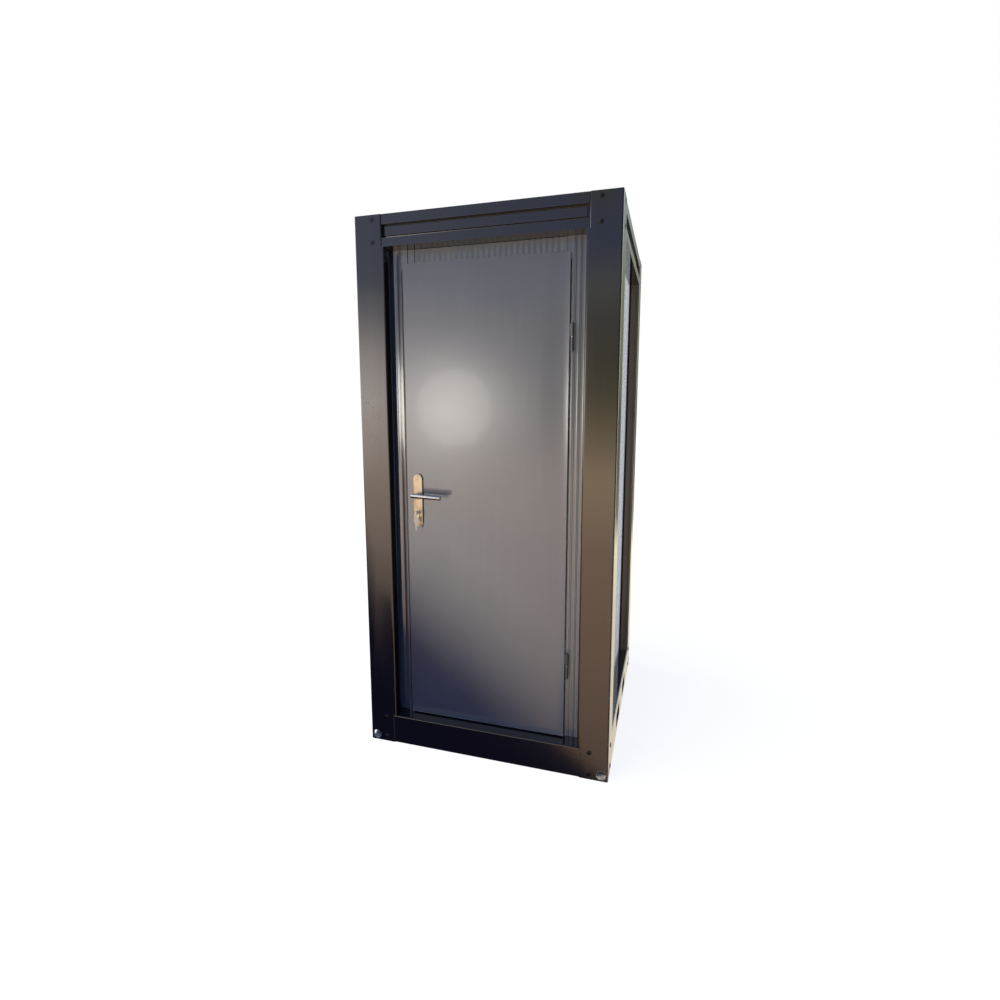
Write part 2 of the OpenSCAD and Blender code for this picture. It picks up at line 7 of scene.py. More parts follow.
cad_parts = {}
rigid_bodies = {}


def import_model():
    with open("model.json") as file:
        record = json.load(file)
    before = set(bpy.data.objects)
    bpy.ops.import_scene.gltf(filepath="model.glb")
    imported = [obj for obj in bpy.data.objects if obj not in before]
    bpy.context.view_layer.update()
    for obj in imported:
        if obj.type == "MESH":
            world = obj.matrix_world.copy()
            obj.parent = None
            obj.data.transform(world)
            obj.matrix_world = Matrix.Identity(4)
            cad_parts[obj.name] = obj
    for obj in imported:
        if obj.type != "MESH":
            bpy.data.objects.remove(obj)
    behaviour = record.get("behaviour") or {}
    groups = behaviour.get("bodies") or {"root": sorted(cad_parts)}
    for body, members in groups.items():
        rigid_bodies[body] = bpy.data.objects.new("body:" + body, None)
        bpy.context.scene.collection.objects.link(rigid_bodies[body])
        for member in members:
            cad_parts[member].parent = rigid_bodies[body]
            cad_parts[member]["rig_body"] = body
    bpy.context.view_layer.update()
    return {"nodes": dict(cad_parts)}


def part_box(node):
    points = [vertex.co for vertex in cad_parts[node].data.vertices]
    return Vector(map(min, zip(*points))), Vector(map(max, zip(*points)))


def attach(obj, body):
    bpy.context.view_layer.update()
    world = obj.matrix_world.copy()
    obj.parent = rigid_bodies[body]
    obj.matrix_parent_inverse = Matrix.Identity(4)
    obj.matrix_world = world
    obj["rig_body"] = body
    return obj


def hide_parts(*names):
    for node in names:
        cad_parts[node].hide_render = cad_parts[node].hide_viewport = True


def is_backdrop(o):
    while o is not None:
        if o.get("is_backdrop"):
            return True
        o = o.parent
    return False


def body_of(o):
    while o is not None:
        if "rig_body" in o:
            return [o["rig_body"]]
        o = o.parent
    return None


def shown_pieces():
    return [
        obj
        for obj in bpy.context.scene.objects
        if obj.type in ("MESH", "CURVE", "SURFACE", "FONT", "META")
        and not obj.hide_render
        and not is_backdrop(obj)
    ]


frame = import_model()
nodes = frame["nodes"]
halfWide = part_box("post_front_right")[1].x      # outer face of the side posts
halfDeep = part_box("post_rear_right")[1].y       # outer face of the rear posts
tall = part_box("post_front_left")[1].z
print("frame loaded:", len(nodes), "nodes")


# shader helpers: a wire is a socket that can be reckoned with
class Wire:
    def __init__(self, tree, socket):
        self.tree, self.socket = tree, socket

    def node(self, kind, settings=None, inputs=None, output=0):
        made = self.tree.nodes.new(kind)
        for name, value in (settings or {}).items():
            if name == "stops":
                setStops(made.color_ramp, value)
            else:
                setattr(made, name, value)
        for key, value in (inputs or {}).items():
            if isinstance(value, Wire):
                self.tree.links.new(value.socket, made.inputs[key])
            else:
                made.inputs[key].default_value = value
        return Wire(self.tree, made.outputs[output]) if len(made.outputs) else None

    def maths(self, operation, first, second=0.0):
        return self.node("ShaderNodeMath", {"operation": operation}, {0: first, 1: second})

    def __add__(self, other):
        return self.maths("ADD", self, other)

    def __radd__(self, other):
        return self.maths("ADD", other, self)

    def __sub__(self, other):
        return self.maths("SUBTRACT", self, other)

    def __rsub__(self, other):
        return self.maths("SUBTRACT", other, self)

    def __mul__(self, other):
        return self.maths("MULTIPLY", self, other)

    def __rmul__(self, other):
        return self.maths("MULTIPLY", other, self)

    def __truediv__(self, other):
        return self.maths("DIVIDE", self, other)

    def __rtruediv__(self, other):
        return self.maths("DIVIDE", other, self)

    def __abs__(self):
        return self.maths("ABSOLUTE", self)

    def most(self, other):
        return self.maths("MAXIMUM", self, other)

    def least(self, other):
        return self.maths("MINIMUM", self, other)

    def smooth(self, low, high):                # 0 at low, 1 at high, soft in between
        return self.node("ShaderNodeMapRange", {"interpolation_type": "SMOOTHSTEP"},
                         {"Value": self, "From Min": low, "From Max": high})

    def blend(self, first, second):             # this wire is the share of the second colour
        return self.node("ShaderNodeMix", {"data_type": "RGBA"}, {0: self, 6: first, 7: second}, 2)

    def parts(self):
        split = self.node("ShaderNodeSeparateXYZ", None, {0: self})
        return [Wire(self.tree, out) for out in split.socket.node.outputs]

    def stretched(self, scale, turn=(0, 0, 0)):
        return self.node("ShaderNodeMapping", None, {"Vector": self, "Rotation": turn, "Scale": scale})

    def noise(self, scale, detail=3.0, roughness=0.5):
        return self.node("ShaderNodeTexNoise", None,
                         {"Vector": self, "Scale": scale, "Detail": detail, "Roughness": roughness})

    def cells(self, scale):
        return self.node("ShaderNodeTexVoronoi", {"feature": "F1"}, {"Vector": self, "Scale": scale})


def rgba(colour):
    return (colour[0], colour[1], colour[2], 1.0)


def setStops(ramp, stops):
    while len(ramp.elements) > 1:
        ramp.elements.remove(ramp.elements[-1])
    for i, (place, colour) in enumerate(stops):
        stop = ramp.elements[0] if i == 0 else ramp.elements.new(place)
        stop.position, stop.color = place, rgba(colour)


class Finish:                                   # a material with its surface shader and its place wire
    def __init__(self, name, **constants):
        self.material = bpy.data.materials.new(name)
        self.material.use_nodes = True
        self.tree = self.material.node_tree
        self.surface = next(n for n in self.tree.nodes if n.type == "BSDF_PRINCIPLED")
        for socket, value in constants.items():
            self.surface.inputs[socket.replace("_", " ")].default_value = value
        start = Wire(self.tree, None)
        self.place = start.node("ShaderNodeTexCoord", None, None, 3)
        self.facing = start.node("ShaderNodeNewGeometry", None, None, 1)

    def feed(self, **wires):
        for socket, wire in wires.items():
            self.tree.links.new(wire.socket, self.surface.inputs[socket.replace("_", " ")])

    def bump(self, height, distance):
        self.feed(Normal=height.node("ShaderNodeBump", None,
                                     {"Strength": 1.0, "Distance": distance, "Height": height}))


# paints: colour, roughness, shine, clear coat and the share of dust film
paintLook = {
    "frame": {"colour": (0.007, 0.0072, 0.0095), "rough": 0.075, "shine": 0.95, "coat": 0.25, "film": 0.010},
    "panel": {"colour": (0.092, 0.096, 0.103), "rough": 0.18, "shine": 0.65, "coat": 0.15, "film": 0.06},
    "doorFrame": {"colour": (0.092, 0.096, 0.103), "rough": 0.145, "shine": 0.8, "coat": 0.3, "film": 0.05},
    "door": {"colour": (0.092, 0.094, 0.099), "rough": 0.195, "shine": 0.65, "coat": 0.12, "film": 0.03},
    "hinge": {"colour": (0.030, 0.031, 0.036), "rough": 0.25, "shine": 0.8, "coat": 0.2, "film": 0.03},
    "coatRough": 0.05, "peelHeight": 0.00006, "gritHeight": 0.00005,
    # pollen tones, greener above and warmer below: partly real pollen, partly a painted reflection of
    # greenery above and sunlit ground below
    "dust": (0.34, 0.30, 0.22), "pollen": (0.44, 0.42, 0.26), "lowPollenAndReflection": (0.52, 0.44, 0.33),
    "bareEdge": (0.42, 0.33, 0.24), "grime": (0.25, 0.19, 0.12),
    "handled": {"low": 1.38, "high": 1.80, "fade": 0.12, "side": -1},
    "innerSkin": {"colour": (0.62, 0.63, 0.61), "fromSides": 0.09, "fromFront": 0.11, "fade": 0.004,
                  "top": 2.35, "topFade": 0.02},
}


def sideFilmAndReflection(finish, tone, rough, share, grit):     # speckled pollen on the faces that look sideways; its tint, greener above and warmer below, is partly a painted reflection of greenery and sunlit ground
    x, y, z = finish.place.parts()
    faceX = finish.facing.parts()[0]
    sideways = abs(faceX).smooth(0.85, 0.99) * (abs(x) - (halfWide - 0.012)).smooth(0.0, 0.008)
    mottle = finish.place.noise(46.0, 5.0, 0.72).smooth(0.42, 0.6)
    speckle = sideways * share * (0.35 + 0.65 * mottle) * grit.smooth(0.3, 0.62)
    # height tint of the speckle: painted reflection of greenery above and sunlit ground below
    pollen = z.smooth(1.7, 0.9).blend(rgba(paintLook["pollen"]), rgba(paintLook["lowPollenAndReflection"]))
    return speckle.least(0.95).blend(tone, pollen), rough + 0.06 * speckle


def wornEdges(finish, tone, rough, cloud):          # rubbed outer corners, grime on the sheltered faces
    x, y, z = finish.place.parts()
    faceY = finish.facing.parts()[1]
    corner = (abs(x) - (halfWide - 0.007)).smooth(0.0, 0.005)
    corner = corner * (abs(y) - (halfDeep - 0.007)).smooth(0.0, 0.005)
    chips = finish.place.noise(90.0, 5.0, 0.75).smooth(0.56, 0.64) * corner * z.smooth(1.9, 0.6)
    tone = chips.blend(tone, rgba(paintLook["bareEdge"]))
    sheltered = (0.0 - faceY).smooth(0.85, 0.99) * y.smooth(0.30, 0.40) * (0.25 + 0.3 * cloud)
    return sheltered.blend(tone, rgba(paintLook["grime"])), rough + 0.2 * chips


def handMarks(finish, rough, handled):              # dull marks and fine scratches beside the lever
    place = finish.place
    x, y, z = place.parts()
    low, high, fade = handled["low"], handled["high"], handled["fade"]
    outer = (handled["side"] * x).smooth(halfWide - 0.125, halfWide - 0.085)
    zone = z.smooth(low, low + fade) * z.smooth(high, high - fade) * outer
    bent = place.noise(9.0, 2.0)
    lines = place.stretched((40.0, 40.0, 7.0), (0.0, 0.25, 0.0)).noise(1.0, 6.0, 0.75)
    thin = abs(lines - 0.5).smooth(0.022, 0.004) * bent.smooth(0.45, 0.6)
    pits = place.cells(120.0).smooth(0.34, 0.16) * place.noise(15.0, 3.0).smooth(0.53, 0.60)
    return rough + 0.42 * ((0.55 * thin + pits).least(1.0) * zone)


def innerSkin(finish, tone, rough, skin, cloud):    # the skins that face the room are off-white
    x, y, z = finish.place.parts()
    wide, deep, top = halfWide - skin["fromSides"], halfDeep - skin["fromFront"], skin["top"]
    room = abs(x).smooth(wide, wide - skin["fade"]) * abs(y).smooth(deep, deep - skin["fade"])
    room = room * z.smooth(top + skin["topFade"], top)
    scuffed = room.least(1.0) * (1.0 - 0.12 * cloud.smooth(0.5, 0.8))
    return scuffed.blend(tone, rgba(skin["colour"])), rough + 0.12 * room


def paint(name, look, wave=0.0012, settled=1.0, sideDustAndReflection=0.0, worn=False, handled=None, skin=None):
    finish = Finish(name, Specular_IOR_Level=look["shine"], Coat_Weight=look["coat"],
                    Coat_Roughness=paintLook["coatRough"])
    place = finish.place
    faceZ = finish.facing.parts()[2]
    cloud = place.noise(2.6, 5.0, 0.62)
    grit = place.noise(420.0, 2.0, 0.6)
    runs = place.stretched((26.0, 26.0, 1.4)).noise(1.0, 4.0, 0.6)
    film = look["film"] * (cloud.smooth(0.36, 0.68) * 0.7 + runs.smooth(0.45, 0.75) * 0.5)
    patches = place.noise(38.0, 4.0, 0.7).smooth(0.35, 0.65)
    ledge = faceZ.smooth(0.5, 0.95) * (settled * (0.08 + 0.4 * patches))
    cover = film + ledge * grit.smooth(0.35, 0.6)
    tone = cover.least(0.9).blend(rgba(look["colour"]), rgba(paintLook["dust"]))
    rough = look["rough"] + 0.05 * (cloud - 0.5) + 0.22 * cover
    if sideDustAndReflection:
        tone, rough = sideFilmAndReflection(finish, tone, rough, sideDustAndReflection, grit)
    if worn:
        tone, rough = wornEdges(finish, tone, rough, cloud)
    if handled:
        rough = handMarks(finish, rough, handled)
    if skin:
        tone, rough = innerSkin(finish, tone, rough, skin, cloud)
    peel = place.noise(95.0, 2.0, 0.5)
    swell = place.noise(1.9, 1.5, 0.4)
    finish.feed(Base_Color=tone, Roughness=rough)
    specks = grit * (paintLook["gritHeight"] * cover)
    finish.bump(peel * paintLook["peelHeight"] + swell * wave + specks, 1.0)
    return finish.material


# metals: colour, roughness and the scale of the grain along each axis
metalLook = {
    "smudge": (0.24, 0.21, 0.17),               # colour of the handling marks on all of them
    "plate": {"colour": (0.52, 0.46, 0.35), "rough": 0.30, "grain": (900.0, 900.0, 14.0), "handled": 0.25},
    "lever": {"colour": (0.62, 0.62, 0.62), "rough": 0.20, "grain": (40.0, 900.0, 900.0), "handled": 0.05},
    "sill": {"colour": (0.50, 0.49, 0.47), "rough": 0.36, "grain": (12.0, 700.0, 700.0), "handled": 0.3},
    "nickel": {"colour": (0.80, 0.78, 0.70), "rough": 0.36, "grain": (260.0, 260.0, 260.0), "metallic": 0.8},
    "key": {"colour": (0.84, 0.82, 0.75), "rough": 0.38, "grain": (300.0, 300.0, 80.0), "metallic": 0.75},
    "washer": {"colour": (0.80, 0.78, 0.72), "rough": 0.22, "grain": (300.0, 300.0, 300.0)},
    "screw": {"colour": (0.42, 0.40, 0.36), "rough": 0.38, "grain": (300.0, 300.0, 300.0)},
    "bar": {"colour": (0.45, 0.45, 0.44), "rough": 0.42, "grain": (300.0, 30.0, 300.0)},
}
otherLook = {                                   # the two colours that each of these varies between
    "bolt": ((0.008, 0.008, 0.010), (0.12, 0.11, 0.10)),
    "rubber": ((0.011, 0.011, 0.012), (0.09, 0.085, 0.08)),
    "wood": ((0.11, 0.075, 0.045), (0.33, 0.25, 0.16)),
    "ceiling": ((0.72, 0.73, 0.72), (0.52, 0.51, 0.47)),
    "zinc": ((0.62, 0.54, 0.40), (0.30, 0.26, 0.19)),
    # near-black of the strip on the left post's inner face: painted shade
    "strip": ((0.004, 0.004, 0.006), (0.010, 0.010, 0.011)),
    "trodden": (0.30, 0.27, 0.23),              # one colour, where feet have worn the wood
}


def between(share, pair):                       # share 0 gives the first colour, 1 the second
    return share.blend(rgba(pair[0]), rgba(pair[1]))


def metal(name, look):
    finish = Finish(name, Metallic=look.get("metallic", 1.0))
    grain = finish.place.stretched(look["grain"]).noise(1.0, 3.0, 0.6)
    hands = finish.place.noise(34.0, 4.0, 0.6).smooth(0.45, 0.7)
    dull = between(0.18 * grain + look.get("handled", 0.12) * hands, (look["colour"], metalLook["smudge"]))
    finish.feed(Base_Color=dull, Roughness=look["rough"] + 0.12 * (grain - 0.5) + 0.16 * hands)
    finish.bump(grain, 0.00004)
    return finish.material


def boltBlack(name):
    finish = Finish(name, Specular_IOR_Level=0.2, Coat_Weight=0.03, Coat_Roughness=0.2)
    worn = finish.place.noise(160.0, 4.0, 0.7).smooth(0.58, 0.68)
    finish.feed(Base_Color=between(0.5 * worn, otherLook["bolt"]), Roughness=0.26 + 0.2 * worn)
    finish.bump(worn, 0.0001)
    return finish.material


def rubber(name):
    finish = Finish(name, Specular_IOR_Level=0.3)
    chalk = finish.place.noise(60.0, 4.0, 0.6).smooth(0.45, 0.75)
    finish.feed(Base_Color=between(0.35 * chalk, otherLook["rubber"]), Roughness=0.55 + 0.2 * chalk)
    finish.bump(finish.place.noise(300.0, 2.0), 0.0001)
    return finish.material


def deckBoard(name):
    finish = Finish(name, Specular_IOR_Level=0.5, Coat_Weight=0.1)
    place = finish.place
    grain = place.stretched((22.0, 2.2, 22.0)).noise(1.0, 6.0, 0.65)
    rings = place.stretched((5.0, 0.6, 5.0)).noise(1.0, 3.0, 0.5)
    tread = place.cells(140.0).smooth(0.38, 0.3)
    wood = between((0.6 * grain + 0.5 * rings).smooth(0.3, 0.8), otherLook["wood"])
    trodden = place.noise(5.0, 4.0, 0.6).smooth(0.45, 0.7)
    finish.feed(Base_Color=(0.4 * trodden).blend(wood, rgba(otherLook["trodden"])),
                Roughness=0.48 + 0.15 * trodden)
    finish.bump(grain * 0.4 + tread * 0.6, 0.0003)
    return finish.material


def ceilingWhite(name):
    finish = Finish(name, Specular_IOR_Level=0.4)
    cloud = finish.place.noise(3.0, 4.0, 0.6)
    finish.feed(Base_Color=between(0.25 * cloud.smooth(0.45, 0.8), otherLook["ceiling"]),
                Roughness=0.45 + 0.1 * cloud)
    finish.bump(finish.place.noise(240.0, 2.0), 0.00005)
    return finish.material


def zinc(name):
    finish = Finish(name, Specular_IOR_Level=0.6)
    clouds = finish.place.noise(30.0, 4.0).smooth(0.4, 0.7)
    finish.feed(Base_Color=between(0.35 * clouds, otherLook["zinc"]),
                Roughness=0.38 + 0.1 * finish.place.noise(60.0))
    return finish.material


# matt near-black, laid on the left post's inner face as painted shade
def stripBlack(name):
    finish = Finish(name, Specular_IOR_Level=0.12)
    grain = finish.place.noise(240.0, 3.0)
    finish.feed(Base_Color=between(grain.smooth(0.5, 0.8), otherLook["strip"]), Roughness=0.6 + 0.1 * grain)
    return finish.material


finishes = {
    "frame_paint": paint("framePaint", paintLook["frame"], wave=0.0008, settled=0.05, sideDustAndReflection=0.07,
                         worn=True, handled=paintLook["handled"]),
    "panel_paint": paint("panelPaint", paintLook["panel"], wave=0.0010, settled=0.5,
                         skin=paintLook["innerSkin"]),
    "door_frame_paint": paint("doorFramePaint", paintLook["doorFrame"], wave=0.0010),
    "door_paint": paint("doorPaint", paintLook["door"], wave=0.0022, settled=0.4),
    "hinge_paint": paint("hingePaint", paintLook["hinge"], wave=0.0),
    "floor_board": deckBoard("deckBoard"),
    "ceiling_white": ceilingWhite("ceilingWhite"),
    "stainless_sill": metal("sillSteel", metalLook["sill"]),
    "stainless_plate": metal("plateSteel", metalLook["plate"]),
    "lever_stainless": metal("leverSteel", metalLook["lever"]),
    "bolt_steel": boltBlack("boltBlack"),
    "washer_steel": metal("washerSteel", metalLook["washer"]),
    "cylinder_nickel": metal("cylinderNickel", metalLook["nickel"]),
    "screw_steel": metal("screwSteel", metalLook["screw"]),
    "key_nickel": metal("keyNickel", metalLook["key"]),
    "spindle_steel": metal("spindleSteel", metalLook["bar"]),
}
sealRubberAndGapShade = rubber("sealRubberAndGapShade")
galvanised = zinc("galvanised")
shadeStripPaint = stripBlack("stripBlack")
print("finishes made for", len(finishes), "slots")


# pieces that keep the frame's own shape, with softened edges
def plainMesh(source, name):                    # the evaluated object as a mesh of its own
    depsgraph = bpy.context.evaluated_depsgraph_get()
    mesh = bpy.data.meshes.new_from_object(source.evaluated_get(depsgraph))
    mesh.name = name
    return mesh


def freed(shape, name):                         # the working shape becomes a mesh
    mesh = bpy.data.meshes.new(name)
    shape.to_mesh(mesh)
    shape.free()
    return mesh


def inScene(name, data):
    thing = bpy.data.objects.new(name, data)
    bpy.context.scene.collection.objects.link(thing)
    return thing


def rounded(mesh, name, edge=0.0, steps=2, sharp=32.0):     # smooth shading, and edges rounded by this width
    mesh.shade_smooth()
    mesh.set_sharp_from_angle(angle=math.radians(sharp))
    working = inScene("working", mesh)
    if edge:
        bevel = working.modifiers.new("edge", "BEVEL")
        bevel.width, bevel.segments = edge, steps
        bevel.limit_method, bevel.angle_limit = "ANGLE", math.radians(sharp)
        bevel.use_clamp_overlap = True
        bevel.harden_normals = True
    else:
        working.modifiers.new("even", "WEIGHTED_NORMAL").keep_sharp = True
    made = plainMesh(working, name)
    bpy.data.objects.remove(working)
    return made


def addPiece(name, mesh, body, material, standsFor=()):
    piece = inScene(name, mesh)
    mesh.materials.clear()
    mesh.materials.append(material)
    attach(piece, body)
    if standsFor:
        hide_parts(*standsFor)
    return piece


def camelName(name):
    first, *rest = name.split("_")
    return first + "".join(word.capitalize() for word in rest)


dishLook = {"near": 0.030, "far": 0.13, "depth": 0.0016, "steps": 8, "sheet": 0.0002}
eyeLook = {"in": 0.030, "old": 0.018, "new": 0.0215, "up": 0.0272, "wall": 0.0011, "deep": 0.010,
           "under": 0.0006, "spread": 0.0006, "gap": 0.0001, "around": 40, "seed": 17}
flushLook = {"within": 0.0028, "out": 0.0018, "ends": 0.0085, "endWithin": 0.001}
beamEnds = (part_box("floor_beam_front")[1].x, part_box("floor_beam_right")[1].y)


def dished(shape):                              # the door's outer sheet lies back beside its hinge edge
    low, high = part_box("door_leaf")
    near, far, steps = dishLook["near"], dishLook["far"], dishLook["steps"]
    cuts = [near * k / steps for k in range(1, steps + 1)]
    cuts += [near + (far - near) * k / steps for k in range(1, steps + 1)]
    for cut in cuts:
        bmesh.ops.bisect_plane(shape, geom=shape.verts[:] + shape.edges[:] + shape.faces[:], dist=0.00001,
                               plane_co=(high.x - cut, 0.0, 0.0), plane_no=(1.0, 0.0, 0.0))
    for vert in shape.verts:
        away = high.x - vert.co.x
        if vert.co.y > low.y + dishLook["sheet"] or away > far:
            continue
        if away < near:
            back = 1.0 - (1.0 - away / near) ** 2
        else:
            back = 0.5 + 0.5 * math.cos(math.pi * (away - near) / (far - near))
        vert.co.y += dishLook["depth"] * back


def widened(shape):                             # lashing eyes as wide as the liners that sit in them
    grow = eyeLook["new"] / eyeLook["old"]
    for vert in shape.verts:
        for axis, reach in ((0, halfWide), (1, halfDeep)):
            middle = math.copysign(reach - eyeLook["in"], vert.co[axis])
            out, up = vert.co[axis] - middle, vert.co.z - eyeLook["in"]
            if abs(math.hypot(out, up) - eyeLook["old"]) < eyeLook["spread"]:
                vert.co[axis] = middle + out * grow
                vert.co.z = eyeLook["up"] + up * grow
                break


def flush(shape):                               # the beam's face brought level with the faces of the feet
    for vert in shape.verts:
        for face, reach, along, end in ((1, halfDeep, 0, beamEnds[0]), (0, halfWide, 1, beamEnds[1])):
            if abs(vert.co[face]) > reach - flushLook["within"]:
                vert.co[face] += math.copysign(flushLook["out"], vert.co[face])
                if abs(abs(vert.co[along]) - end) < flushLook["endWithin"]:
                    vert.co[along] += math.copysign(flushLook["ends"], vert.co[along])
                break


def softened(nodeName, slot, edge):
    mesh = nodes[nodeName].data.copy()
    shape = bmesh.new()
    shape.from_mesh(mesh)
    bmesh.ops.remove_doubles(shape, verts=shape.verts, dist=0.00002)
    bmesh.ops.dissolve_limit(shape, angle_limit=math.radians(0.5), verts=shape.verts, edges=shape.edges)
    if nodeName == "door_leaf":
        dished(shape)
    if nodeName.startswith("post"):
        widened(shape)
    if nodeName.startswith("floor_beam"):
        flush(shape)
    shape.to_mesh(mesh)
    shape.free()
    name = camelName(nodeName)
    body = body_of(nodes[nodeName])[0]
    return addPiece(name, rounded(mesh, name, edge), body, finishes[slot], [nodeName])


softEdges = (                                   # slot, width of the rounded edge, nodes
    ("frame_paint", 0.0012, "roof_beam_front roof_beam_rear roof_beam_left roof_beam_right"),
    ("frame_paint", 0.0, "floor_beam_front floor_beam_rear floor_beam_left floor_beam_right"),
    ("frame_paint", 0.0008, "post_front_left post_front_right post_rear_left post_rear_right"),
    ("panel_paint", 0.001, "transom_strip"), ("panel_paint", 0.002, "transom_panel"),
    ("door_frame_paint", 0.001, "door_head"), ("door_paint", 0.0012, "door_leaf"),
    ("stainless_sill", 0.001, "door_sill"), ("hinge_paint", 0.0012, "hinge_pins hinge_knuckles"),
    ("washer_steel", 0.0003, "hinge_washers"), ("stainless_sill", 0.0003, "strike_plate lock_faceplate"),
    ("stainless_plate", 0.0005, "backplate_outside backplate_inside"),
    ("screw_steel", 0.0, "plate_screws"), ("cylinder_nickel", 0.0005, "lock_cylinder"),
    ("key_nickel", 0.0004, "key_in_lock"), ("key_nickel", 0.0, "key_ring"),
    ("key_nickel", 0.0004, "spare_key"), ("lever_stainless", 0.0006, "lever_outside lever_inside"),
)
for slot, edge, names in softEdges:
    for nodeName in names.split():
        softened(nodeName, slot, edge)
print("edges softened")

keptNodes = {                                   # slot: nodes whose shape is left as it is
    "frame_paint": "fork_pockets floor_joists", "floor_board": "floor_deck", "ceiling_white": "ceiling_panel",
    "panel_paint": "roof_sheet wall_left wall_right wall_rear front_wall_left front_wall_right",
    "door_frame_paint": "door_jamb_left door_jamb_right", "spindle_steel": "spindle",
}
for slot, names in keptNodes.items():
    for nodeName in names.split():
        nodes[nodeName].data.materials.clear()
        nodes[nodeName].data.materials.append(finishes[slot])
print("other frame pieces finished")


# what repeats or follows a path is made by a node group on a loose mesh
fullTurn = 6.283


class Graph:                                    # a node group for one modifier
    def __init__(self, name, sizes):
        self.group = bpy.data.node_groups.new(name, "GeometryNodeTree")
        face = self.group.interface
        face.new_socket("Geometry", in_out="INPUT", socket_type="NodeSocketGeometry")
        self.ids = {}
        for label, (kind, value) in sizes.items():
            socket = face.new_socket(label, in_out="INPUT", socket_type=kind)
            if value is not None:
                socket.default_value = value
            self.ids[label] = socket.identifier
        face.new_socket("Geometry", in_out="OUTPUT", socket_type="NodeSocketGeometry")
        self.start = self.group.nodes.new("NodeGroupInput")
        self.end = self.group.nodes.new("NodeGroupOutput")

    def size(self, label):
        return self.start.outputs[label]

    def add(self, kind, settings=None, inputs=None, output=0):
        made = self.group.nodes.new(kind)
        for name, value in (settings or {}).items():
            setattr(made, name, value)
        for key, value in (inputs or {}).items():
            if isinstance(value, bpy.types.NodeSocket):
                self.group.links.new(value, made.inputs[key])
            else:
                made.inputs[key].default_value = value
        return made.outputs[output]

    def close(self, shape, material):
        real = self.add("GeometryNodeRealizeInstances", None, {0: shape})
        done = self.add("GeometryNodeSetMaterial", None, {"Geometry": real, "Material": material})
        self.group.links.new(done, self.end.inputs[0])

    def run(self, base, name, values):          # base mesh in, plain mesh out
        working = inScene("working", base)
        modifier = working.modifiers.new("make", "NODES")
        modifier.node_group = self.group
        for label, value in values.items():
            modifier[self.ids[label]] = value
        made = plainMesh(working, name)
        bpy.data.objects.remove(working)
        return made


def pointsMesh(name, places, turns):            # loose points, each with its own turn
    mesh = bpy.data.meshes.new(name)
    mesh.from_pydata([tuple(p) for p in places], [], [])
    turn = mesh.attributes.new("turn", "FLOAT_VECTOR", "POINT")
    turn.data.foreach_set("vector", [v for t in turns for v in t])
    return mesh


def pathMesh(name, places, closed=False):       # loose edges from place to place
    mesh = bpy.data.meshes.new(name)
    links = [(i, i + 1) for i in range(len(places) - 1)]
    if closed:
        links.append((len(places) - 1, 0))
    mesh.from_pydata([tuple(p) for p in places], links, [])
    return mesh


def lathed(name, profile, around):              # profile of (radius, height), turned about Z
    shape = bmesh.new()
    rings = []
    for radius, height in profile:
        if radius == 0.0:
            rings.append([shape.verts.new((0.0, 0.0, height))])
            continue
        steps = [2.0 * math.pi * k / around for k in range(around)]
        rings.append([shape.verts.new((radius * math.cos(a), radius * math.sin(a), height)) for a in steps])
    for low, high in zip(rings, rings[1:]):
        for k in range(max(len(low), len(high))):
            corners = [low[k % len(low)], low[(k + 1) % len(low)]]
            corners += [high[(k + 1) % len(high)], high[k % len(high)]]
            unique = list(dict.fromkeys(corners))
            if len(unique) > 2:
                shape.faces.new(unique)
    bmesh.ops.recalc_face_normals(shape, faces=shape.faces)
    return freed(shape, name)


def scatterGraph(name):                         # one small part copied to every point
    graph = Graph(name, {"Part": ("NodeSocketObject", None), "Spin": ("NodeSocketFloat", fullTurn),
                         "Seed": ("NodeSocketInt", 3)})
    part = graph.add("GeometryNodeObjectInfo", None, {"Object": graph.size("Part")}, 4)
    turn = graph.add("GeometryNodeInputNamedAttribute", {"data_type": "FLOAT_VECTOR"}, {"Name": "turn"})
    spin = graph.add("FunctionNodeRandomValue", {"data_type": "FLOAT"},
                     {2: 0.0, 3: graph.size("Spin"), "Seed": graph.size("Seed")}, 1)
    roll = graph.add("ShaderNodeCombineXYZ", None, {"Z": spin})
    copies = graph.add("GeometryNodeInstanceOnPoints", None,
                       {"Points": graph.start.outputs[0], "Instance": part, "Rotation": turn})
    rolled = graph.add("GeometryNodeRotateInstances", None, {"Instances": copies, "Rotation": roll})
    return graph, rolled


def scatter(name, partMesh, places, turns, material, seed, sharp=35.0):
    part = inScene("part", partMesh)
    graph, copies = scatterGraph(name + "Nodes")
    graph.close(copies, material)
    made = graph.run(pointsMesh(name, places, turns), name, {"Part": part, "Spin": fullTurn, "Seed": seed})
    bpy.data.objects.remove(part)
    made.shade_smooth()
    made.set_sharp_from_angle(angle=math.radians(sharp))
    return made


def aroundPlaces(inset, sunk, heights):         # the same spots at both ends of all four sides
    places, turns = [], []
    for side in range(4):
        angle = math.radians(90.0 * side)
        reach, depth = (halfWide, halfDeep) if side % 2 == 0 else (halfDeep, halfWide)
        for sign in (-1, 1):
            for height in heights:
                local = Vector((sign * (reach - inset), sunk - depth, height))
                places.append(Matrix.Rotation(angle, 3, "Z") @ local)
                turns.append((math.radians(90.0), 0.0, angle))
    return places, turns


# frame bolts: low domed heads with a hexagon socket
boltLook = {"radius": 0.0104, "rise": 0.0029, "socket": 0.0034, "socketDepth": 0.6, "around": 30,
            "seed": 11, "inFromSide": 0.085, "heights": (0.026, 0.126, tall - 0.114, tall - 0.020)}


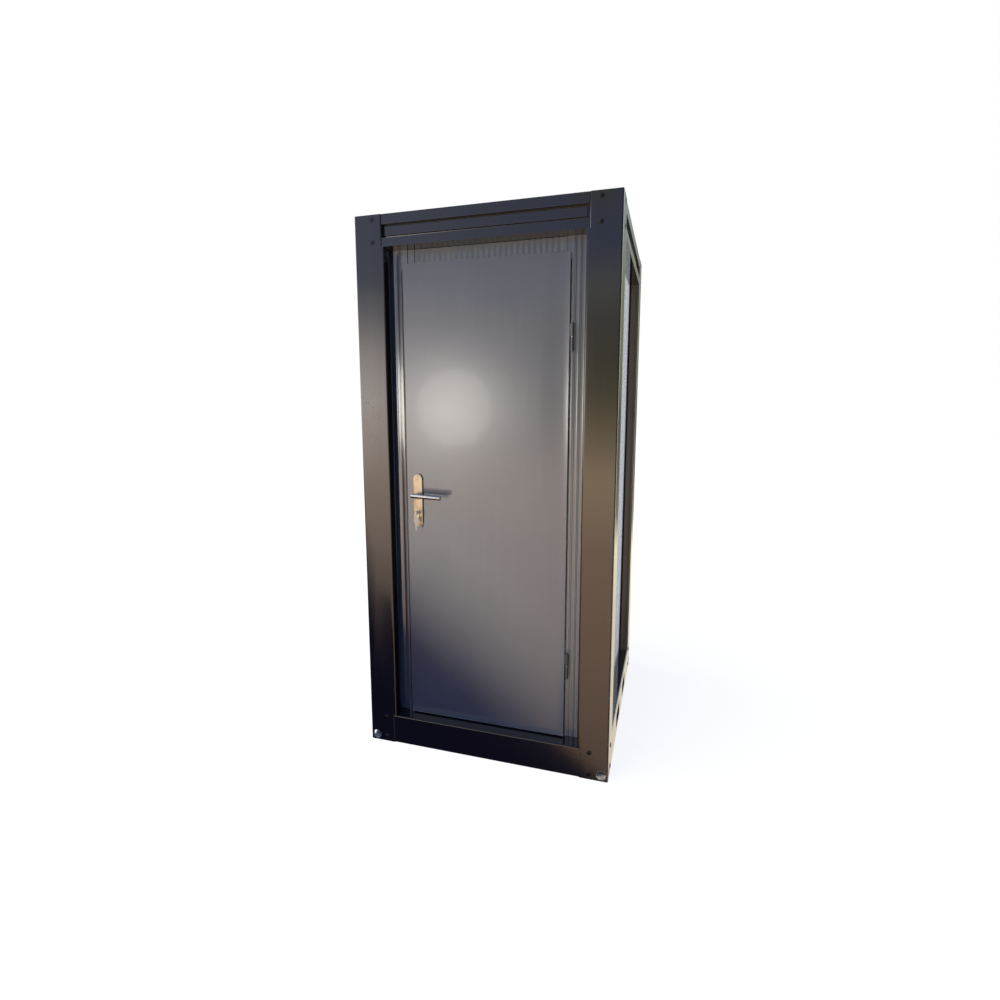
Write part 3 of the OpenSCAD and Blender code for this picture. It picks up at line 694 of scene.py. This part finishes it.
def boltHeadMesh():
    r, rise, socket = boltLook["radius"], boltLook["rise"], boltLook["socket"]
    sunk = rise * (1.0 - boltLook["socketDepth"])
    dome = [(r * math.cos(a), rise * (0.35 + 0.65 * math.sin(a))) for a in (0.0, 0.25, 0.5, 0.75, 1.0)]
    profile = [(0.0, 0.0), (r, 0.0)] + dome + [(socket, rise), (socket * 0.96, sunk), (0.0, sunk)]
    return lathed("boltHead", profile, boltLook["around"])


boltPlaces = aroundPlaces(boltLook["inFromSide"], 0.0, boltLook["heights"])
bolts = scatter("frameBolts", boltHeadMesh(), *boltPlaces, finishes["bolt_steel"], boltLook["seed"])
addPiece("frameBolts", bolts, "cabin", finishes["bolt_steel"], ["corner_bolts"])
print("frame bolts:", len(bolts.polygons), "faces")


# feet: liners in the lashing eyes, and pale plates inside, painted light that stands for daylight seen
# through the eyes
lightPlateLook = {"outer": 0.0055, "inner": 0.110, "low": 0.0042, "high": 0.0052}


def eyeLinerMesh():
    r, inner, deep = eyeLook["new"] - eyeLook["gap"], eyeLook["new"] - eyeLook["wall"], -eyeLook["deep"]
    profile = [(inner, 0.0), (r, 0.0), (r, deep), (inner, deep), (inner, 0.0)]
    return lathed("eyeLiner", profile, eyeLook["around"])


def boxesMesh(name, boxes):                     # plain boxes given by their low and high corners
    shape = bmesh.new()
    for low, high in boxes:
        made = bmesh.ops.create_cube(shape, size=1.0)["verts"]
        for vert in made:
            vert.co = Vector([low[k] + (vert.co[k] + 0.5) * (high[k] - low[k]) for k in range(3)])
    return freed(shape, name)


def lightPlateBoxes():
    boxes = []
    for sx in (-1, 1):
        for sy in (-1, 1):
            xs = sorted((sx * (halfWide - lightPlateLook["outer"]), sx * (halfWide - lightPlateLook["inner"])))
            ys = sorted((sy * (halfDeep - lightPlateLook["outer"]), sy * (halfDeep - lightPlateLook["inner"])))
            boxes.append(((xs[0], ys[0], lightPlateLook["low"]), (xs[1], ys[1], lightPlateLook["high"])))
    return boxes


eyePlaces = aroundPlaces(eyeLook["in"], eyeLook["under"], [eyeLook["up"]])
liners = scatter("eyeLiners", eyeLinerMesh(), *eyePlaces, galvanised, eyeLook["seed"])
addPiece("eyeLiners", liners, "cabin", galvanised)
# the pale plates are painted light seen through the lashing eyes
addPiece("footPlates", boxesMesh("footPlates", lightPlateBoxes()), "cabin", galvanised)
print("feet done")


# matt black strip on the inner face of the left front post, painted shade of that shaded face
shadeStripLook = {"wide": 0.036, "thick": 0.0008, "back": 0.0008, "clear": 0.001}


def shadeStripBox():
    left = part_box("post_front_left")[1].x
    front = shadeStripLook["back"] - halfDeep
    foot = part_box("floor_beam_front")[1].z + shadeStripLook["clear"]
    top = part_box("door_head")[1].z
    return (left, front, foot), (left + shadeStripLook["thick"], front + shadeStripLook["wide"], top)


# the strip is painted shade on the left post's inner face
addPiece("postStrip", boxesMesh("postStrip", [shadeStripBox()]), "cabin", shadeStripPaint)


# roof sheet screws, with their sealing washers
roofLook = {"washer": 0.008, "head": 0.0045, "rise": 0.006, "rows": (-0.36, 0.0, 0.36),
            "ribs": 5, "ribHeight": 0.018, "around": 12, "seed": 5}


def roofScrewMesh():
    w, h, rise = roofLook["washer"], roofLook["head"], roofLook["rise"]
    profile = [(0.0, 0.0), (w, 0.0), (w, 0.0014), (h * 1.15, 0.002), (h * 1.15, 0.0028),
               (h, 0.003), (h, rise), (0.0, rise)]
    return lathed("roofScrew", profile, roofLook["around"])


def roofScrewPlaces():                          # four rows in the low pans and one on the high middle
    low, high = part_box("roof_sheet")
    step = (high.x - low.x) / roofLook["ribs"]
    spots = [(low.x + step * k, high.z - roofLook["ribHeight"]) for k in range(1, roofLook["ribs"])]
    spots.append(((low.x + high.x) / 2, high.z))
    return [Vector((across, row, height)) for across, height in spots for row in roofLook["rows"]]


spots = roofScrewPlaces()
level = [(0.0, 0.0, 0.0)] * len(spots)
screws = scatter("roofScrews", roofScrewMesh(), spots, level, finishes["screw_steel"], roofLook["seed"])
addPiece("roofScrews", screws, "cabin", finishes["screw_steel"])
print("roof screws:", len(spots))


# rubber seal of the doorway, its runs set out into the door gaps where its black is partly painted shadow of
# the gaps, and the folded hem of the door's outer sheet
leafLow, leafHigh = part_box("door_leaf")
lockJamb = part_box("door_jamb_left")
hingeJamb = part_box("door_jamb_right")
# lock and hinge set the seal's runs out into the gaps beside the leaf, where they stand partly as painted gap
# shadow
sealLook = {"lock": 0.0295, "hinge": 0.0166, "head": 0.0065, "proud": 0.0009, "foot": 0.004,
            "radius": 0.0033, "step": 0.02, "waver": 0.0002, "grain": 8.0, "corner": 0.004, "sides": 10}
hemLook = {"sunk": 0.35, "radius": 0.0011, "step": 0.012, "waver": 0.0007, "grain": 7.0, "corner": 0.004,
           "sides": 8}


def sweepGraph(name, sides):                    # a round bead along a path, with a slight waver
    graph = Graph(name, {"Radius": ("NodeSocketFloat", 0.002), "Step": ("NodeSocketFloat", 0.01),
                         "Waver": ("NodeSocketFloat", 0.0), "Grain": ("NodeSocketFloat", 8.0),
                         "Corner": ("NodeSocketFloat", 0.004)})
    curve = graph.add("GeometryNodeMeshToCurve", None, {"Mesh": graph.start.outputs[0]})
    curved = graph.add("GeometryNodeFilletCurve", {"mode": "POLY"},
                       {"Curve": curve, "Radius": graph.size("Corner"), "Count": 4})
    even = graph.add("GeometryNodeResampleCurve", {"mode": "LENGTH"},
                     {"Curve": curved, "Length": graph.size("Step")})
    place = graph.add("GeometryNodeInputPosition")
    noise = graph.add("ShaderNodeTexNoise", None,
                      {"Vector": place, "Scale": graph.size("Grain"), "Detail": 2.0}, 1)
    centred = graph.add("ShaderNodeVectorMath", {"operation": "SUBTRACT"}, {0: noise, 1: (0.5, 0.5, 0.5)})
    shift = graph.add("ShaderNodeVectorMath", {"operation": "SCALE"},
                      {0: centred, "Scale": graph.size("Waver")})
    moved = graph.add("GeometryNodeSetPosition", None, {"Geometry": even, "Offset": shift})
    ring = graph.add("GeometryNodeCurvePrimitiveCircle", {"mode": "RADIUS"},
                     {"Resolution": sides, "Radius": graph.size("Radius")})
    swept = graph.add("GeometryNodeCurveToMesh", None,
                      {"Curve": moved, "Profile Curve": ring, "Fill Caps": True})
    return graph, swept


def sweptMesh(name, path, look, material):
    graph, swept = sweepGraph(name + "Nodes", look["sides"])
    graph.close(swept, material)
    made = graph.run(path, name, {label: look[label.lower()] for label in graph.ids})
    made.shade_smooth()
    return made


def sealPath():
    y = lockJamb[0].y + sealLook["radius"] - sealLook["proud"]
    left = lockJamb[1].x - sealLook["lock"]
    right = hingeJamb[0].x + sealLook["hinge"]
    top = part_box("door_head")[0].z + sealLook["head"]
    foot = lockJamb[0].z + sealLook["foot"]
    return pathMesh("doorSeal", [(left, y, foot), (left, y, top), (right, y, top), (right, y, foot)])


def hemPath():
    inset = hemLook["radius"]
    y = leafLow.y + inset * hemLook["sunk"]
    left, right = leafLow.x + inset, leafHigh.x - inset
    low, high = leafLow.z + inset, leafHigh.z - inset
    return pathMesh("doorHem", [(left, y, low), (left, y, high), (right, y, high), (right, y, low)], True)


# heavy settled dust on the hem's upper side: partly real dust, partly a painted highlight along the door's
# top edge
hemDustAndHighlight = paint("hemDustAndHighlight", paintLook["door"], wave=0.0, settled=2.2)
# the seal's black in the door gaps is partly a real seal, partly painted shadow of the gaps
seal = sweptMesh("doorSeal", sealPath(), sealLook, sealRubberAndGapShade)
addPiece("doorSeal", seal, "cabin", sealRubberAndGapShade)
hem = sweptMesh("doorHem", hemPath(), hemLook, hemDustAndHighlight)
addPiece("doorHem", hem, "door", hemDustAndHighlight)
print("seal and hem:", len(seal.polygons), len(hem.polygons), "faces")


# rolled profile on the faces of the door frame
trimLook = {                                    # (place from the jamb's outer edge, rise above its face)
    "lip": [(0.0008, 0.0), (0.0010, 0.0012), (0.0014, 0.0019), (0.0068, 0.00075), (0.0077, 0.0)],
    "band": [(0.0084, 0.0), (0.0090, 0.0017), (0.0150, 0.0004), (0.0156, 0.0017), (0.0196, 0.00085),
             (0.0204, 0.0015), (0.0350, 0.00075), (0.0360, 0.0006), (0.0364, 0.0)],
    "beads": [(0.3785, 0.0060, 0.0013), (0.4035, 0.0055, 0.0013), (0.4285, 0.0060, 0.0013)],
    "calmBelow": 0.50, "fullAbove": 0.66,       # heights between which the folds fade out
    "calmRise": 0.0009, "sunk": 0.0004, "short": 0.0005, "sharp": 33.0,
}
trimLow, trimHigh = lockJamb[0].z + trimLook["short"], lockJamb[1].z - trimLook["short"]


def formed(name, outline, face, calm=None):     # upright strip: front outline (x, y), flat back
    behind = face + trimLook["sunk"]
    points = [(outline[0][0], behind)] + list(outline) + [(outline[-1][0], behind)]
    flattened = points if calm is None else [(px, max(py, calm)) for px, py in points]
    levels = [(trimLow, flattened), (trimHigh, points)]
    if calm is not None:                        # the folds fade out towards the floor
        levels[1:1] = [(trimLook["calmBelow"], flattened), (trimLook["fullAbove"], points)]
    shape = bmesh.new()
    rings = [[shape.verts.new((px, py, z)) for px, py in ring] for z, ring in levels]
    for foot, head in zip(rings, rings[1:]):
        for k in range(len(points)):
            n = (k + 1) % len(points)
            shape.faces.new((foot[k], foot[n], head[n], head[k]))
    shape.faces.new(rings[0])
    shape.faces.new(rings[-1])
    bmesh.ops.recalc_face_normals(shape, faces=shape.faces)
    made = rounded(freed(shape, name), name, sharp=trimLook["sharp"])
    return addPiece(name, made, "cabin", finishes["door_frame_paint"])


def bead(middle, half, rise, face, steps=10):   # a low rounded rib
    angles = [math.pi * (1.0 - k / steps) for k in range(steps + 1)]
    return [(middle + half * math.cos(a), face - rise * math.sin(a)) for a in angles]


jambFace = lockJamb[0].y
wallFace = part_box("front_wall_right")[0].y
for name, fold in (("jambLip", "lip"), ("jambBand", "band")):
    outline = [(lockJamb[0].x + px, jambFace - rise) for px, rise in trimLook[fold]]
    formed(name, outline, jambFace, jambFace - trimLook["calmRise"])
for number, (middle, half, rise) in enumerate(trimLook["beads"]):
    face = jambFace if middle < hingeJamb[1].x else wallFace
    formed("jambBead" + str(number + 1), bead(middle, half, rise, face), face)
print("door frame profile done")


# stage: floor, surroundings, lamps and camera
stageLook = {"floorSize": 60.0, "floorTone": (0.08, 0.075, 0.07), "floorWhite": 1.05, "floorDrop": 0.0005,
             "shadowTone": (0.9, 0.9, 0.9), "shadowShare": 0.16, "fill": (0.22, 0.36, 0.88)}
white = (1.0, 1.0, 1.0)


def makeFloor():
    s = stageLook["floorSize"] / 2
    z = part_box("post_front_left")[0].z - stageLook["floorDrop"]
    mesh = bpy.data.meshes.new("floor")
    mesh.from_pydata([(-s, -s, z), (s, -s, z), (s, s, z), (-s, s, z)], [], [(0, 1, 2, 3)])
    floor = inScene("floor", mesh)
    material = bpy.data.materials.new("floorPale")
    material.use_nodes = True
    tree = material.node_tree
    tree.nodes.clear()
    wire = Wire(tree, None)
    seen = wire.node("ShaderNodeLightPath")
    pale = wire.node("ShaderNodeBsdfDiffuse", None, {"Color": rgba(stageLook["shadowTone"])})
    glow = wire.node("ShaderNodeEmission", None, {"Color": rgba(white), "Strength": stageLook["floorWhite"]})
    shown = wire.node("ShaderNodeMixShader", None, {0: 1.0 - stageLook["shadowShare"], 1: pale, 2: glow})
    ground = wire.node("ShaderNodeBsdfDiffuse", None, {"Color": rgba(stageLook["floorTone"])})
    both = wire.node("ShaderNodeMixShader", None, {0: seen, 1: ground, 2: shown})
    wire.node("ShaderNodeOutputMaterial", None, {"Surface": both})
    mesh.materials.append(material)
    floor.visible_glossy = False
    floor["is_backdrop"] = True
    return floor


skyStops = {                                    # (0.5 + 0.5 * sine of elevation, colour)
    "frontLeft": [
        (0.0, (0.2, 0.14, 0.12)), (0.30, (0.40, 0.28, 0.22)), (0.335, (0.75, 0.54, 0.42)),
        (0.365, (1.10, 0.82, 0.62)), (0.402, (1.65, 1.25, 0.92)), (0.436, (2.1, 1.6, 1.25)),
        (0.471, (2.85, 2.4, 2.0)), (0.507, (3.4, 3.0, 2.65)), (0.541, (2.6, 2.3, 2.15)),
        (0.576, (1.2, 1.15, 1.15)), (0.604, (0.50, 0.55, 0.70)), (0.66, (0.46, 0.52, 0.70)),
        (0.715, (0.50, 0.56, 0.72)), (0.76, (1.9, 2.0, 2.2)), (0.84, (1.5, 1.6, 1.8)),
        (0.89, (0.30, 0.38, 0.58)), (1.0, (0.14, 0.18, 0.28))],
    "frontRight": [
        (0.0, (0.36, 0.23, 0.15)), (0.213, (0.85, 0.54, 0.35)), (0.30, (1.30, 0.84, 0.50)),
        (0.365, (1.5, 0.98, 0.62)), (0.402, (1.85, 1.25, 0.78)), (0.436, (2.15, 1.50, 0.92)),
        (0.471, (1.30, 0.95, 0.54)), (0.507, (0.60, 0.50, 0.26)), (0.541, (0.42, 0.35, 0.18)),
        (0.576, (0.38, 0.36, 0.28)), (0.604, (0.52, 0.52, 0.46)), (0.635, (0.30, 0.35, 0.52)),
        (0.68, (0.30, 0.34, 0.50)), (0.715, (0.34, 0.38, 0.55)), (0.76, (1.7, 1.8, 2.1)),
        (0.84, (1.4, 1.5, 1.8)), (0.89, (0.28, 0.36, 0.58)), (1.0, (0.14, 0.18, 0.30))],
    "behind": [
        (0.0, (0.60, 0.50, 0.38)), (0.24, (0.90, 0.78, 0.60)), (0.33, (1.0, 0.86, 0.62)),
        (0.375, (1.25, 1.08, 0.70)), (0.405, (0.30, 0.26, 0.17)), (0.44, (0.20, 0.17, 0.11)),
        (0.49, (0.14, 0.13, 0.08)), (0.53, (0.24, 0.24, 0.11)), (0.60, (0.26, 0.28, 0.16)),
        (0.65, (0.36, 0.39, 0.38)), (0.75, (0.45, 0.52, 0.62)), (1.0, (0.35, 0.42, 0.60))],
}
skyLook = {
    "turn": (-0.56, -0.10),                     # between these the left sky gives way to the right one
    "patches": (0.36, 0.34, 0.24), "patchShare": 0.75,      # broken patches above the skyline
    "dim": (-0.02, 0.45), "dimTone": (0.08, 0.09, 0.15), "dimShare": 0.85,
    "slope": (0.7645, 0.8005),                  # the dark ground lies below this sloping plane
    "sharp": (0.012, -0.026), "soft": (0.04, -0.19), "softFrom": (-0.505, -0.545), "under": (-0.05, -0.16),
    "shade": (0.02, 0.016, 0.045), "shadeShare": 0.985,
    "aside": (3.4, 3.65, 3.8), "asideFrom": (0.30, 0.46), "asideTo": (1.5, 1.0),    # bright sky, right rear
}


def makeWorld():
    world = bpy.data.worlds.new("surroundings")
    bpy.context.scene.world = world
    world.use_nodes = True
    tree = world.node_tree
    tree.nodes.clear()
    wire = Wire(tree, None)
    path = wire.node("ShaderNodeLightPath")
    looks = {out.name: Wire(tree, out) for out in path.socket.node.outputs}
    towards = wire.node("ShaderNodeTexCoord", None, None, 0)
    x, y, z = towards.parts()
    height = 0.5 + 0.5 * z
    skies = {name: height.node("ShaderNodeValToRGB", {"stops": stops}, {"Fac": height})
             for name, stops in skyStops.items()}
    sideways = x / (0.05 - y).most(0.05)        # tangent of the angle from straight ahead
    ahead = sideways.smooth(*skyLook["turn"]).blend(skies["frontLeft"], skies["frontRight"])
    patches = towards.noise(11.0, 3.0, 0.65).smooth(0.46, 0.58) * z.smooth(0.30, 0.35) * z.smooth(0.44, 0.40)
    ahead = (skyLook["patchShare"] * patches).blend(ahead, rgba(skyLook["patches"]))
    dimmed = skyLook["dimShare"] * sideways.smooth(*skyLook["dim"])
    ahead = dimmed.blend(ahead, rgba(skyLook["dimTone"]))
    over = skyLook["slope"][0] * x - skyLook["slope"][1] * y + z
    sharp = over.smooth(*skyLook["sharp"])
    soft = over.smooth(*skyLook["soft"])
    shaded = (sharp + sideways.smooth(*skyLook["softFrom"]) * (soft - sharp)) * z.smooth(*skyLook["under"])
    front = (skyLook["shadeShare"] * shaded).blend(ahead, rgba(skyLook["shade"]))
    across = x / y.most(0.05)
    aside = across.smooth(*skyLook["asideFrom"]) * across.smooth(*skyLook["asideTo"])
    aside = aside * y.smooth(0.0, 0.1) * z.smooth(-0.55, -0.30)
    back = aside.blend(skies["behind"], rgba(skyLook["aside"]))
    mirrored = y.smooth(-0.10, 0.30).blend(front, back)
    picture = looks["Is Camera Ray"].blend(mirrored, rgba(white))
    seen = (looks["Is Camera Ray"] + looks["Is Glossy Ray"] + looks["Is Transmission Ray"]).least(1.0)
    light = seen.blend(rgba(stageLook["fill"]), picture)
    backdrop = wire.node("ShaderNodeBackground", None, {"Color": light, "Strength": 1.0})
    wire.node("ShaderNodeOutputWorld", None, {"Surface": backdrop})


lamps = {
    "key": {"place": (-1.58, -2.62, 0.28), "target": (0.35, -0.58, 1.35), "size": 0.42, "watts": 56.0,
            "colour": (1.0, 0.94, 0.80), "spread": 110.0},
    "right": {"place": (4.2, 1.3, 2.4), "target": (0.5, 0.2, 1.2), "size": 2.6, "watts": 190.0,
              "colour": (1.0, 0.99, 0.96)},
    "rear": {"place": (-2.6, 4.2, 3.0), "target": (0.0, 0.3, 1.2), "size": 2.6, "watts": 150.0,
             "colour": (1.0, 0.98, 0.95)},
    "gap": {"place": (1.30, -2.40, 1.40), "target": (0.55, 0.46, 1.2), "size": 0.8, "watts": 30.0,
            "colour": (1.0, 0.93, 0.84), "only": ("postRearRight", "postRearLeft")},
    "above": {"place": (0.3, 1.2, 5.4), "target": (0.0, 0.1, 2.4), "size": 2.4, "watts": 45.0,
              "colour": (0.98, 0.99, 1.0)},
}
suns = {                                        # azimuth 0 is straight ahead of the door
    "glare": {"azimuth": -22.1, "elevation": -0.1, "strength": 0.155, "angle": 8.0,
              "colour": (1.0, 0.94, 0.85)},
    "trim": {"azimuth": -4.0, "elevation": 0.5, "strength": 0.16, "angle": 8.0, "colour": (1.0, 0.97, 0.90),
             "only": ("jambLip", "jambBand")},
    "glint": {"azimuth": -38.0, "elevation": 24.0, "strength": 0.25, "angle": 8.0,
              "colour": (1.0, 0.98, 0.95),
              "only": ("frameBolts", "plateScrews", "lockCylinder", "keyInLock", "keyRing", "spareKey")},
    "floor": {"azimuth": -60.0, "elevation": 62.0, "strength": 3.5, "angle": 50.0, "colour": white},
}
sunDistance = 8.0
flagLook = {"left": (-1.30, 1.43), "right": (1.20, -0.46), "foot": -3.0, "share": 0.45}
shadowless = ("doorLeaf", "doorHem", "hingePins", "hingeKnuckles", "hingeWashers", "doorSeal",
              "postFrontLeft")
glossyPaints = ("panelPaint", "doorFramePaint", "doorPaint", "hemDustAndHighlight")


def addLamp(name, data, place, target):
    lamp = inScene(name, data)
    lamp.location = place
    lamp.rotation_euler = (Vector(target) - Vector(place)).to_track_quat("-Z", "Y").to_euler()
    lamp.visible_camera = False
    return lamp


def areaLamp(name, look):
    data = bpy.data.lights.new(name, "AREA")
    data.shape, data.size = "DISK", look["size"]
    data.energy, data.color = look["watts"], look["colour"]
    data.spread = math.radians(look.get("spread", 180.0))
    lamp = addLamp(name, data, look["place"], look["target"])
    lamp.visible_glossy = False
    return lamp


def sunLamp(name, look, visible):
    data = bpy.data.lights.new(name, "SUN")
    data.energy, data.angle, data.color = look["strength"], math.radians(look["angle"]), look["colour"]
    a, e = math.radians(look["azimuth"]), math.radians(look["elevation"])
    towards = Vector((math.sin(a) * math.cos(e), -math.cos(a) * math.cos(e), math.sin(e)))
    lamp = addLamp(name, data, towards * sunDistance, (0.0, 0.0, 0.0))
    lamp.visible_diffuse, lamp.visible_glossy = visible == "diffuse", visible == "glossy"
    return lamp


def gathered(name, things):
    group = bpy.data.collections.new(name)
    for thing in things:
        group.objects.link(thing)
    return group


def linked(lamp, name, lit, shading=None):      # what the lamp lights, and what casts its shadows
    lamp.light_linking.receiver_collection = gathered(name + "Lit", lit)
    if shading is not None:
        lamp.light_linking.blocker_collection = gathered(name + "Shading", shading)


def chosen(pieces, look):                       # the pieces that a lamp is meant for
    return [piece for piece in pieces if "only" not in look or piece.name in look["only"]]


def makeLamps(floor):
    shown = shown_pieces()
    faced = [piece for piece in shown if piece.name != "front_wall_left"]
    fixed = [piece for piece in shown if piece.name not in shadowless]
    postless = [piece for piece in fixed if not piece.name.startswith("post")]
    painted = [piece for piece in faced if any(m.name in glossyPaints for m in piece.data.materials)]
    for name, look in lamps.items():
        lamp = areaLamp(name + "Lamp", look)
        if name == "key":
            linked(lamp, name, faced, fixed + [makeFlag()])
        else:
            linked(lamp, name, chosen(shown, look), shown)
    linked(sunLamp("glareLamp", suns["glare"], "glossy"), "glare", painted, postless)
    linked(sunLamp("trimLamp", suns["trim"], "glossy"), "trim", chosen(shown, suns["trim"]), postless)
    linked(sunLamp("glintLamp", suns["glint"], "glossy"), "glint", chosen(shown, suns["glint"]))
    linked(sunLamp("floorLamp", suns["floor"], "diffuse"), "floor", [floor], shown)


def makeFlag():                                 # keeps the key lamp off the lower left of the front
    key = Vector(lamps["key"]["place"])
    left, right, foot = flagLook["left"], flagLook["right"], flagLook["foot"]
    edge = [left, right, (right[0], foot), (left[0], foot)]
    corners = [key.lerp(Vector((across, -halfDeep, height)), flagLook["share"]) for across, height in edge]
    mesh = bpy.data.meshes.new("flag")
    mesh.from_pydata([tuple(c) for c in corners], [], [(0, 1, 2, 3)])
    flag = inScene("flag", mesh)
    flag.visible_camera = flag.visible_glossy = flag.visible_diffuse = flag.visible_transmission = False
    flag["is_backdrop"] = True
    return flag


cameraLook = {"place": (0.787, -2.820, 1.626), "turn": 16.44, "tip": -7.75, "roll": 0.10,
              "lens": 19.65, "sensor": 36.0, "shift": (-0.0100, -0.0182)}


def makeCamera():
    data = bpy.data.cameras.new("camera")
    data.lens, data.sensor_width = cameraLook["lens"], cameraLook["sensor"]
    data.shift_x, data.shift_y = cameraLook["shift"]
    camera = inScene("camera", data)
    turn = Matrix.Rotation(math.radians(cameraLook["turn"]), 4, "Z")
    tip = Matrix.Rotation(math.radians(90.0 + cameraLook["tip"]), 4, "X")
    roll = Matrix.Rotation(math.radians(cameraLook["roll"]), 4, "Z")
    camera.matrix_world = Matrix.Translation(cameraLook["place"]) @ turn @ tip @ roll
    bpy.context.scene.camera = camera


makeWorld()
makeLamps(makeFloor())
makeCamera()
bpy.context.scene.view_settings.view_transform = "Standard"
print("stage ready")
